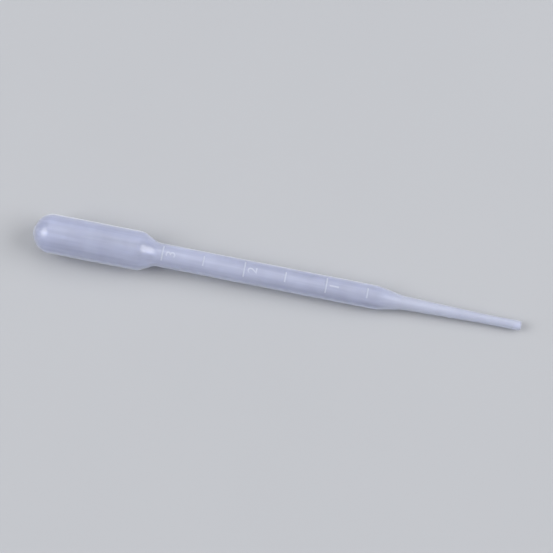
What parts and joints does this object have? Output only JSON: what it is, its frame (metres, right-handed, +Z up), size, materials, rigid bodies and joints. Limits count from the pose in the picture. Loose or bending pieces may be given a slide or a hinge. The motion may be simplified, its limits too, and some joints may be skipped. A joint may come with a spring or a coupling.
{
  "type": "dropper pipette",
  "caption": "Thin-walled one-piece plastic dropper with a closed squeeze bulb, a graduated stem and a long drawn-down tip with an open bore.",
  "frame": {"origin": "centre of the bounding box in plan, on the surface that the pipette lies on", "axes": "+X from the bulb towards the tip, along the surface; +Y across, at a mould parting line; +Z up, on the side of the graduations"},
  "size_m": [0.1604, 0.013, 0.0137],
  "materials": {
    "natural_polyethylene": "natural low-density polyethylene, milky and translucent, with a soft sheen"
  },
  "bodies": {
    "root": {"dropper_pipette": "natural_polyethylene"}
  },
  "joints": []
}
